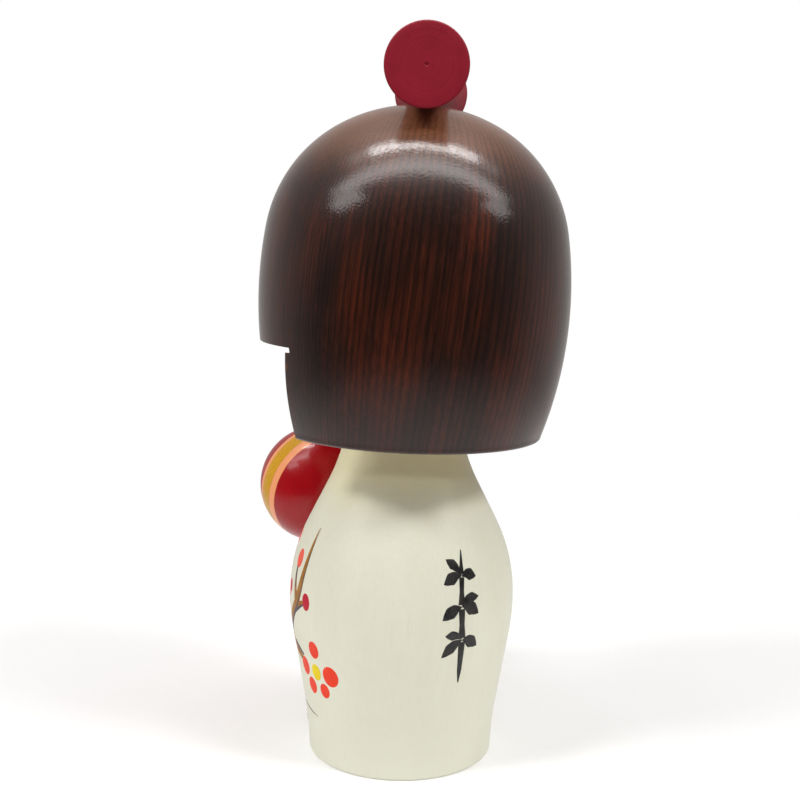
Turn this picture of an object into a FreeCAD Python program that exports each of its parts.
import FreeCAD, Part
import math
import os
import Sketcher

# A turned wooden kokeshi doll that holds a temari ball and wears a bobbed hair cap.
# Millimetres, +Z up. The origin is the centre of the foot, on the body's turning axis.
# The body's front is -Y. The head pieces share one head frame: its origin is on the
# head's own axis, level with the hair's rim, and its front is -Y before the head is turned.

Vector = FreeCAD.Vector
Rotation = FreeCAD.Rotation
Placement = FreeCAD.Placement

FOOT_TO_CROWN = Vector(0, 0, 1)
ACROSS = Vector(1, 0, 0)
BACKWARD = Vector(0, 1, 0)

SIZES = {
    # body: foot flare, straight skirt, belly, straight shoulder, neck curve
    "base_radius": 19.1,
    "base_round": 0.6,
    "foot_curve": 80.0,
    "skirt_slope": 9.5,
    "belly_radius": 23.2,
    "belly_height": 33.1,
    "lower_belly_curve": 43.7,
    "upper_belly_curve": 34.5,
    "shoulder_slope": 26.9,
    "neck_curve": 36.7,
    "neck_radius": 11.9,
    "neck_height": 67.2,
    # head frame: how the turned head sits on the body
    "rim_drop": 0.3,
    "neck_gap": 0.7,
    "head_turn": 51.8,
    "head_lean": 1.52,
    "head_offset": 1.02,
    "lean_heading": 144.0,
    # neck dowel: glued into the body, a running fit in the head
    "neck_dowel_radius": 5.0,
    "neck_dowel_socket": 22.0,
    "neck_dowel_reach": 26.0,
    "dowel_chamfer": 0.6,
    "running_gap": 0.05,
    "glue_gap": 0.05,
    "end_gap": 0.4,
    # face block: the pale round of wood let into the hair from below
    "face_radius": 22.5,
    "chin_radius": 15.0,
    "cheek_height": 14.0,
    "brow_height": 22.0,
    "let_in_gap": 0.1,
    # hair cap: outer shape, grown from the seat it leaves for the face block, with a dome of
    # fixed proportions above its widest ring; then the window sawn out of its front
    "rim_wall": 4.1,
    "rim_round": 0.7,
    "hair_swell": 4.7,
    "side_share": 2.6115,
    "shoulder_share": 0.914,
    "crown_share": 1.0414,
    "dome_share": 1.2146,
    "crown_height": 65.5,
    "window_height": 18.1,
    "window_inset": 2.4,
    "lock_lean": 3.9,
    "kerf_height": 1.0,
    "kerf_depth": 1.1,
    # hair ribbon: a turned hourglass lying across the crown
    "ribbon_disc_radius": 7.8,
    "ribbon_waist_radius": 4.9,
    "ribbon_half_length": 21.5,
    "ribbon_edge_round": 0.35,
    "ribbon_setback": 1.1,
    "ribbon_dowel_radius": 2.0,
    "ribbon_dowel_depth": 12.0,
    "ribbon_dowel_rise": 2.0,
    # temari ball: stands on the upper belly curve, square to it
    "ball_radius": 13.2,
    "ball_elevation": 21.0,
    "ball_gap": 0.05,
    "ball_dowel_radius": 1.5,
    "ball_dowel_depth": 8.0,
}

# sizes that follow from the driving ones, each from those above it
FOLLOWING = {
    "rim_radius": "(@face_radius + @let_in_gap + @rim_wall)",
    "hair_radius": "(@rim_radius + @hair_swell)",
    "side_curve": "(@side_share * @hair_radius)",
    "shoulder_curve": "(@shoulder_share * @hair_radius)",
    "crown_curve": "(@crown_share * @hair_radius)",
    "dome_height": "(@dome_share * @hair_radius)",
    "window_top_half": "(@face_radius - @window_inset)",
    "window_foot_half": "(@window_top_half - @lock_lean)",
}

SHEET_NAME = "<<sizes>>."

doc = FreeCAD.newDocument("kokeshi_doll")

sheet = doc.addObject("Spreadsheet::Sheet", "sizes")
for row, (alias, number) in enumerate(SIZES.items(), start=1):
    sheet.set(f"A{row}", alias)
    sheet.set(f"B{row}", str(number))
    sheet.setAlias(f"B{row}", alias)
doc.recompute()


def in_sheet(formula):
    """Spell a formula out in driving sizes; each @ in it stands for the sheet's name."""
    for name in reversed(FOLLOWING):
        formula = formula.replace(f"@{name}", FOLLOWING[name])
    return formula.replace("@", SHEET_NAME)


def size(alias):
    return float(sheet.evalExpression(in_sheet(f"@{alias}")))


def bind(thing, path, formula):
    """Tie a size of a thing to the sheet."""
    thing.setExpression(path, in_sheet(formula))


# ---- helpers for sketches and turned solids ----

def new_body(name):
    body = doc.addObject("PartDesign::Body", name)
    body.Label = name
    return body


def new_sketch(body, name, role="XZ_Plane"):
    sketch = body.newObject("Sketcher::SketchObject", name)
    plane = next(f for f in body.Origin.OriginFeatures if f.Role == role)
    sketch.AttachmentSupport = [(plane, "")]
    sketch.MapMode = "FlatFace"
    return sketch


def line(sketch, start, end):
    segment = Part.LineSegment(Vector(*start, 0), Vector(*end, 0))
    return sketch.addGeometry(segment, False)


def arc(sketch, centre, radius, first_angle, last_angle):
    circle = Part.Circle(Vector(*centre, 0), FOOT_TO_CROWN, radius)
    curve = Part.ArcOfCircle(circle, math.radians(first_angle), math.radians(last_angle))
    return sketch.addGeometry(curve, False)


def join(sketch, kind, first, first_end, second, second_end):
    sketch.addConstraint(Sketcher.Constraint(kind, first, first_end, second, second_end))


def dimension(sketch, kind, name, formula, *geometry):
    """A driving dimension: distances start at the sketch's origin, radii and angles do not."""
    start = (-1, 1) if kind in ("DistanceX", "DistanceY") else ()
    value = float(sketch.evalExpression(in_sheet(formula)))
    if kind == "Angle":
        value = math.radians(value)
    index = sketch.addConstraint(Sketcher.Constraint(kind, *start, *geometry, value))
    sketch.renameConstraint(index, name)
    bind(sketch, f"Constraints.{name}", formula)


def on_axis(sketch, geometry, end):
    sketch.addConstraint(Sketcher.Constraint("PointOnObject", geometry, end, -2))


def level(sketch, geometry):
    sketch.addConstraint(Sketcher.Constraint("Horizontal", geometry))


def upright(sketch, geometry):
    sketch.addConstraint(Sketcher.Constraint("Vertical", geometry))


def turn(body, sketch, name, kind="PartDesign::Revolution"):
    turned = body.newObject(kind, name)
    turned.Profile = sketch
    turned.ReferenceAxis = (sketch, ["V_Axis"])
    turned.Angle = 360
    sketch.Visibility = False
    doc.recompute()
    return turned


def ease_edges(body, name, formula, choose, kind="PartDesign::Fillet"):
    """Round or chamfer the edges of the body's tip that choose() accepts."""
    tip = body.Tip
    names = [f"Edge{i}" for i, edge in enumerate(tip.Shape.Edges, start=1) if choose(edge)]
    feature = body.newObject(kind, name)
    feature.Base = (tip, names)
    bind(feature, "Radius" if kind.endswith("Fillet") else "Size", formula)
    doc.recompute()
    return feature


def bore(body, name, radius, depth, place):
    """Drill a round hole: it starts at the place's origin and runs along its +Z."""
    before = body.Shape.Volume
    hole = body.newObject("PartDesign::SubtractiveCylinder", name)
    hole.Placement = place
    bind(hole, "Radius", radius)
    bind(hole, "Height", depth)
    doc.recompute()
    if body.Shape.Volume >= before:
        raise ValueError(f"{name} cuts nothing")
    return hole


def is_round(edge):
    return not edge.Degenerated and isinstance(edge.Curve, Part.Circle)


def is_circle(edge, radius, height):
    """True for a full turn about the body's own axis, of this radius and at this height."""
    if not is_round(edge):
        return False
    circle = edge.Curve
    return math.isclose(circle.Radius, radius, abs_tol=1e-4) and \
        math.isclose(circle.Center.z, height, abs_tol=1e-4)


def new_dowel(name, radius, length, chamfer):
    """A plain turned dowel that stands on its own origin, chamfered at both ends."""
    body = new_body(name)
    rod = body.newObject("PartDesign::AdditiveCylinder", f"{name}_rod")
    bind(rod, "Radius", radius)
    bind(rod, "Height", length)
    doc.recompute()
    ease_edges(body, f"{name}_ends", chamfer, is_round, "PartDesign::Chamfer")
    return body


# ---- places that several pieces share ----

heading = Rotation(FOOT_TO_CROWN, size("lean_heading"))
lean_direction = heading.multVec(ACROSS)
lean_rotation = Rotation(FOOT_TO_CROWN.cross(lean_direction), size("head_lean"))
rim_height = size("neck_height") - size("rim_drop")

# the leaning axis of the neck dowel; its origin is level with the hair's rim
neck_axis = Placement(lean_direction * size("head_offset") + Vector(0, 0, rim_height), lean_rotation)
head_frame = neck_axis * Placement(Vector(), Rotation(FOOT_TO_CROWN, size("head_turn")))

# the point of the belly that the ball stands on, and the direction square to the belly there
ball_out = Rotation(ACROSS, 90 - size("ball_elevation"))
ball_direction = ball_out.multVec(FOOT_TO_CROWN)
belly_centre = Vector(0, size("upper_belly_curve") - size("belly_radius"), size("belly_height"))
ball_contact = belly_centre + ball_direction * size("upper_belly_curve")
ball_frame = Placement(ball_contact, ball_out)


def at_height(place, height):
    return place * Placement(Vector(0, 0, height), Rotation())


# ---- body ----

def make_body():
    body = new_body("body")
    sketch = new_sketch(body, "body_outline")
    belly = (size("belly_radius"), size("belly_height"))
    top = (size("neck_radius"), size("neck_height"))
    lower, upper = size("lower_belly_curve"), size("upper_belly_curve")
    foot, neck = size("foot_curve"), size("neck_curve")
    skirt, shoulder = size("skirt_slope"), size("shoulder_slope")
    lower_centre = (belly[0] - lower, belly[1])
    upper_centre = (belly[0] - upper, belly[1])
    foot_centre = (size("base_radius") + foot, 0)
    neck_centre = (top[0] + neck, top[1])

    base = line(sketch, (0, 0), (size("base_radius"), 0))
    flare = arc(sketch, foot_centre, foot, 180 - skirt, 180)
    straight = line(sketch, (20, 12), (22, 25))
    low_belly = arc(sketch, lower_centre, lower, -skirt, 0)
    high_belly = arc(sketch, upper_centre, upper, 0, shoulder)
    slope = line(sketch, (19, 49), (15, 57))
    hollow = arc(sketch, neck_centre, neck, 180, 180 + shoulder)
    seat = line(sketch, top, (0, top[1]))
    axis = line(sketch, (0, top[1]), (0, 0))

    join(sketch, "Coincident", base, 1, -1, 1)
    join(sketch, "Coincident", base, 2, flare, 2)
    join(sketch, "Tangent", flare, 1, straight, 1)
    join(sketch, "Tangent", straight, 2, low_belly, 1)
    join(sketch, "Tangent", low_belly, 2, high_belly, 1)
    join(sketch, "Tangent", high_belly, 2, slope, 1)
    join(sketch, "Tangent", slope, 2, hollow, 2)
    join(sketch, "Coincident", hollow, 1, seat, 1)
    join(sketch, "Coincident", seat, 2, axis, 1)
    join(sketch, "Coincident", axis, 2, base, 1)
    join(sketch, "Horizontal", low_belly, 3, low_belly, 2)
    level(sketch, base)
    level(sketch, seat)
    upright(sketch, axis)
    dimension(sketch, "DistanceX", "base_radius", "@base_radius", base, 2)
    dimension(sketch, "Radius", "foot_curve", "@foot_curve", flare)
    dimension(sketch, "Angle", "skirt_angle", "90 - @skirt_slope", straight)
    dimension(sketch, "Radius", "lower_curve", "@lower_belly_curve", low_belly)
    dimension(sketch, "DistanceX", "belly_radius", "@belly_radius", low_belly, 2)
    dimension(sketch, "DistanceY", "belly_height", "@belly_height", low_belly, 2)
    dimension(sketch, "Radius", "upper_curve", "@upper_belly_curve", high_belly)
    dimension(sketch, "Angle", "shoulder_angle", "90 + @shoulder_slope", slope)
    dimension(sketch, "Radius", "neck_curve", "@neck_curve", hollow)
    dimension(sketch, "DistanceX", "neck_radius", "@neck_radius", seat, 1)
    dimension(sketch, "DistanceY", "neck_height", "@neck_height", seat, 1)
    turn(body, sketch, "body_turned")
    ease_edges(body, "base_eased", "@base_round",
               lambda edge: is_circle(edge, size("base_radius"), 0))
    bore(body, "neck_socket", "@neck_dowel_radius + @glue_gap",
         "@neck_dowel_socket + @neck_dowel_reach",
         at_height(neck_axis, -size("neck_dowel_socket")))
    bore(body, "ball_socket", "@ball_dowel_radius + @glue_gap",
         "@ball_dowel_depth + @ball_radius",
         at_height(ball_frame, -size("ball_dowel_depth")))
    return body


# ---- dowels ----

def make_neck_dowel():
    length = "@neck_dowel_socket - @end_gap + @neck_dowel_reach"
    dowel = new_dowel("neck_dowel", "@neck_dowel_radius", length, "@dowel_chamfer")
    dowel.Placement = at_height(neck_axis, size("end_gap") - size("neck_dowel_socket"))
    return dowel


def make_ball_dowel():
    length = "2 * (@ball_dowel_depth - @end_gap) + @ball_gap"
    dowel = new_dowel("ball_dowel", "@ball_dowel_radius", length, "@dowel_chamfer / 2")
    dowel.Placement = at_height(ball_frame, size("end_gap") - size("ball_dowel_depth"))
    return dowel


def make_ribbon_dowel():
    length = "@ribbon_dowel_depth + @ribbon_waist_radius + @ribbon_dowel_rise - 2 * @end_gap"
    dowel = new_dowel("ribbon_dowel", "@ribbon_dowel_radius", length, "@dowel_chamfer / 2")
    foot = size("crown_height") - size("ribbon_dowel_depth") + size("end_gap")
    dowel.Placement = head_frame * Placement(Vector(0, size("ribbon_setback"), foot), Rotation())
    return dowel


# ---- temari ball ----

def make_temari_ball():
    body = new_body("temari_ball")
    ball = body.newObject("PartDesign::AdditiveSphere", "ball_turned")
    bind(ball, "Radius", "@ball_radius")
    doc.recompute()
    bore(body, "ball_bore", "@ball_dowel_radius + @glue_gap", "@ball_gap + @ball_dowel_depth",
         Placement(Vector(0, 0, -size("ball_radius") - size("ball_gap")), Rotation()))
    body.Placement = at_height(ball_frame, size("ball_gap") + size("ball_radius"))
    return body


# ---- face block ----

def round_top(sketch, radius, foot, brow_height):
    """The outline that the face block and its seat share: a bar with a ball nose, from
    the point foot, up the side to the brow, and over to the axis."""
    side = line(sketch, foot, (radius, brow_height))
    dome = arc(sketch, (0, brow_height), radius, 0, 90)
    top = brow_height + radius
    axis = line(sketch, (0, top), (0, foot[1]))
    join(sketch, "Tangent", side, 2, dome, 1)
    join(sketch, "Coincident", dome, 2, axis, 1)
    on_axis(sketch, dome, 3)
    on_axis(sketch, dome, 2)
    upright(sketch, side)
    dimension(sketch, "DistanceY", "brow_height", "@brow_height", dome, 3)
    return side, dome, axis


def make_face_block():
    body = new_body("face_block")
    sketch = new_sketch(body, "face_outline")
    seat_height = size("rim_drop") + size("neck_gap")
    chin = (size("chin_radius"), seat_height)
    cheek = (size("face_radius"), size("cheek_height"))
    side, dome, axis = round_top(sketch, cheek[0], cheek, size("brow_height"))
    under = line(sketch, (0, seat_height), chin)
    # the cheek's centre lies level with its top, as far from the chin's edge as from the side
    drop, inset = cheek[1] - chin[1], cheek[0] - chin[0]
    bend = (drop ** 2 + inset ** 2) / (2 * inset)
    start = -math.degrees(math.atan2(drop, bend - inset))
    jaw = arc(sketch, (cheek[0] - bend, cheek[1]), bend, start, 0)
    join(sketch, "Coincident", axis, 2, under, 1)
    join(sketch, "Coincident", under, 2, jaw, 1)
    join(sketch, "Tangent", jaw, 2, side, 1)
    level(sketch, under)
    upright(sketch, axis)
    dimension(sketch, "Radius", "face_radius", "@face_radius", dome)
    dimension(sketch, "DistanceX", "chin_radius", "@chin_radius", under, 2)
    dimension(sketch, "DistanceY", "seat_height", "@rim_drop + @neck_gap", under, 2)
    dimension(sketch, "DistanceY", "cheek_height", "@cheek_height", jaw, 2)
    turn(body, sketch, "face_turned")
    bore(body, "face_bore", "@neck_dowel_radius + @running_gap",
         "@neck_dowel_reach + @end_gap", Placement())
    body.Placement = head_frame
    return body


# ---- hair cap ----

def angle_to(start, end):
    return math.degrees(math.atan2(end[1] - start[1], end[0] - start[0]))


def where_circles_meet(first, first_radius, second, second_radius):
    """The outer of the two points that lie on both circles."""
    apart = math.dist(first, second)
    along = (first_radius ** 2 - second_radius ** 2 + apart ** 2) / (2 * apart)
    off = math.sqrt(first_radius ** 2 - along ** 2)
    across, up = (second[0] - first[0]) / apart, (second[1] - first[1]) / apart
    return first[0] + along * across - off * up, first[1] + along * up + off * across


def turn_hair(body):
    """Solid outer shape of the bob, all tangent: the locks up to the widest ring, then a
    side curve, a shoulder and a crown that make the dome."""
    sketch = new_sketch(body, "hair_outline")
    rim, widest = size("rim_radius"), size("hair_radius")
    side_bend, crown_bend = size("side_curve"), size("crown_curve")
    shoulder_bend, apex = size("shoulder_curve"), size("crown_height")
    middle = apex - size("dome_height")
    # the locks' centre lies level with the widest ring, as far from it as from the rim
    swell = widest - rim
    lock_bend = (middle ** 2 + swell ** 2) / (2 * swell)
    lock_foot = -math.degrees(math.asin(middle / lock_bend))
    side_centre, crown_centre = (widest - side_bend, middle), (0, apex - crown_bend)
    shoulder_centre = where_circles_meet(side_centre, side_bend - shoulder_bend,
                                         crown_centre, crown_bend - shoulder_bend)
    side_top = angle_to(side_centre, shoulder_centre)
    crown_edge = angle_to(crown_centre, shoulder_centre)
    floor = line(sketch, (0, 0), (rim, 0))
    locks = arc(sketch, (widest - lock_bend, middle), lock_bend, lock_foot, 0)
    side = arc(sketch, side_centre, side_bend, 0, side_top)
    shoulder = arc(sketch, shoulder_centre, shoulder_bend, side_top, crown_edge)
    crown = arc(sketch, crown_centre, crown_bend, crown_edge, 90)
    axis = line(sketch, (0, apex), (0, 0))
    join(sketch, "Coincident", floor, 1, -1, 1)
    join(sketch, "Coincident", floor, 2, locks, 1)
    join(sketch, "Tangent", locks, 2, side, 1)
    join(sketch, "Tangent", side, 2, shoulder, 1)
    join(sketch, "Tangent", shoulder, 2, crown, 1)
    join(sketch, "Coincident", crown, 2, axis, 1)
    join(sketch, "Coincident", axis, 2, floor, 1)
    on_axis(sketch, crown, 3)
    level(sketch, floor)
    upright(sketch, axis)
    dimension(sketch, "DistanceX", "rim_radius", "@rim_radius", floor, 2)
    dimension(sketch, "Radius", "side_curve", "@side_curve", side)
    dimension(sketch, "DistanceX", "side_centre", "@hair_radius - @side_curve", side, 3)
    dimension(sketch, "DistanceY", "side_level", "@crown_height - @dome_height", side, 3)
    dimension(sketch, "DistanceY", "widest_level", "@crown_height - @dome_height", side, 1)
    dimension(sketch, "Radius", "shoulder_curve", "@shoulder_curve", shoulder)
    dimension(sketch, "Radius", "crown_curve", "@crown_curve", crown)
    dimension(sketch, "DistanceY", "crown_height", "@crown_height", crown, 2)
    turn(body, sketch, "hair_turned")


def hollow_hair(body):
    """The seat that the face block is let into, open at the rim."""
    sketch = new_sketch(body, "seat_outline")
    radius = size("face_radius") + size("let_in_gap")
    side, dome, axis = round_top(sketch, radius, (radius, 0), size("brow_height"))
    mouth = line(sketch, (0, 0), (radius, 0))
    join(sketch, "Coincident", axis, 2, mouth, 1)
    join(sketch, "Coincident", mouth, 1, -1, 1)
    join(sketch, "Coincident", mouth, 2, side, 1)
    level(sketch, mouth)
    dimension(sketch, "Radius", "seat_radius", "@face_radius + @let_in_gap", dome)
    turn(body, sketch, "face_seat", "PartDesign::Groove")


def saw_window(body):
    """The window between fringe and side locks: upright saw cuts that lean in towards the
    rim, and a level cut for the fringe, whose kerf runs a little past the upright ones."""
    sketch = new_sketch(body, "window_outline")
    top, corner = size("window_height"), size("window_top_half")
    kerf_foot = top - size("kerf_height")
    foot, kerf = size("window_foot_half"), size("window_top_half") + size("kerf_depth")
    half = [(foot, 0), (corner, kerf_foot), (kerf, kerf_foot), (kerf, top)]
    outline = half + [(-x, z) for x, z in reversed(half)]
    edges = [line(sketch, a, b) for a, b in zip(outline, outline[1:] + outline[:1])]
    for edge, following in zip(edges, edges[1:] + edges[:1]):
        join(sketch, "Coincident", edge, 2, following, 1)
    lock, kerf_floor, kerf_end, fringe = edges[:4]
    for first, second in ((0, 7), (1, 6), (2, 5), (3, 4)):
        mirror = Sketcher.Constraint("Symmetric", first, 1, second, 1, -2)
        sketch.addConstraint(mirror)
    level(sketch, kerf_floor)
    upright(sketch, kerf_end)
    dimension(sketch, "DistanceX", "foot_half", "@window_foot_half", lock, 1)
    sketch.addConstraint(Sketcher.Constraint("PointOnObject", lock, 1, -1))
    dimension(sketch, "DistanceX", "corner_half", "@window_top_half", lock, 2)
    dimension(sketch, "DistanceY", "kerf_foot", "@window_height - @kerf_height", lock, 2)
    dimension(sketch, "DistanceX", "kerf_half", "@window_top_half + @kerf_depth", fringe, 1)
    dimension(sketch, "DistanceY", "window_height", "@window_height", fringe, 1)
    before = body.Shape.Volume
    window = body.newObject("PartDesign::Pocket", "face_window")
    window.Profile = sketch
    window.Reversed = True
    bind(window, "Length", "2 * @hair_radius")
    doc.recompute()
    if body.Shape.Volume >= before:
        raise ValueError("the window cuts nothing")


def make_hair_cap():
    body = new_body("hair_cap")
    turn_hair(body)
    ease_edges(body, "rim_eased", "@rim_round",
               lambda edge: is_circle(edge, size("rim_radius"), 0))
    hollow_hair(body)
    saw_window(body)
    foot = size("crown_height") - size("ribbon_dowel_depth")
    bore(body, "ribbon_socket", "@ribbon_dowel_radius + @glue_gap",
         "@ribbon_dowel_depth + @rim_round",
         Placement(Vector(0, size("ribbon_setback"), foot), Rotation()))
    body.Placement = head_frame
    return body


# ---- hair ribbon ----

def make_hair_ribbon():
    body = new_body("hair_ribbon")
    sketch = new_sketch(body, "ribbon_outline")
    disc, waist = size("ribbon_disc_radius"), size("ribbon_waist_radius")
    half = size("ribbon_half_length")
    rise = disc - waist
    bend = (half ** 2 + rise ** 2) / (2 * rise)
    spread = math.degrees(math.asin(half / bend))
    near_face = line(sketch, (0, -half), (disc, -half))
    flank = arc(sketch, (waist + bend, 0), bend, 180 - spread, 180 + spread)
    far_face = line(sketch, (disc, half), (0, half))
    axis = line(sketch, (0, half), (0, -half))
    join(sketch, "Coincident", near_face, 2, flank, 2)
    join(sketch, "Coincident", flank, 1, far_face, 1)
    join(sketch, "Coincident", far_face, 2, axis, 1)
    join(sketch, "Coincident", axis, 2, near_face, 1)
    on_axis(sketch, near_face, 1)
    level(sketch, near_face)
    level(sketch, far_face)
    upright(sketch, axis)
    mirror = Sketcher.Constraint("Symmetric", near_face, 2, far_face, 1, -1)
    sketch.addConstraint(mirror)
    dimension(sketch, "DistanceX", "disc_radius", "@ribbon_disc_radius", far_face, 1)
    dimension(sketch, "DistanceY", "half_length", "@ribbon_half_length", far_face, 1)
    bend_formula = "(@ribbon_half_length ^ 2 + (@ribbon_disc_radius - @ribbon_waist_radius) ^ 2)" \
        " / (2 * (@ribbon_disc_radius - @ribbon_waist_radius))"
    dimension(sketch, "Radius", "waist_curve", bend_formula, flank)
    turn(body, sketch, "ribbon_turned")
    ease_edges(body, "ribbon_eased", "@ribbon_edge_round",
               lambda edge: is_circle(edge, disc, half) or is_circle(edge, disc, -half))
    # the turned axis lies across the head, so the piece's own +X points down into the crown
    across = Rotation(BACKWARD, 90)
    bore(body, "ribbon_bore", "@ribbon_dowel_radius + @glue_gap",
         "@ribbon_dowel_rise + @ribbon_disc_radius",
         Placement(Vector(-size("ribbon_dowel_rise"), 0, 0), across))
    height = size("crown_height") + waist
    body.Placement = head_frame * Placement(Vector(0, size("ribbon_setback"), height), across)
    return body


pieces = [
    make_body(),
    make_neck_dowel(),
    make_temari_ball(),
    make_ball_dowel(),
    make_face_block(),
    make_hair_cap(),
    make_hair_ribbon(),
    make_ribbon_dowel(),
]
doc.recompute()

for thing in doc.Objects:
    if "Invalid" in thing.State or "Error" in thing.State:
        raise ValueError(f"{thing.Name} failed: {thing.State}")
    if thing.isDerivedFrom("Sketcher::SketchObject") and thing.solve() != 0:
        raise ValueError(f"{thing.Name} is not solved")
for piece in pieces:
    if piece.Shape.isNull() or not piece.Shape.isValid():
        raise ValueError(f"{piece.Label} has no valid shape")

os.makedirs("parts", exist_ok=True)
for piece in pieces:
    piece.Shape.exportStep(f"parts/{piece.Label}.step")
    box = piece.Shape.BoundBox
    print(f"{piece.Label}: {len(piece.Shape.Solids)} solid, volume {piece.Shape.Volume:.0f} mm3, "
          f"z {box.ZMin:.2f} to {box.ZMax:.2f}")
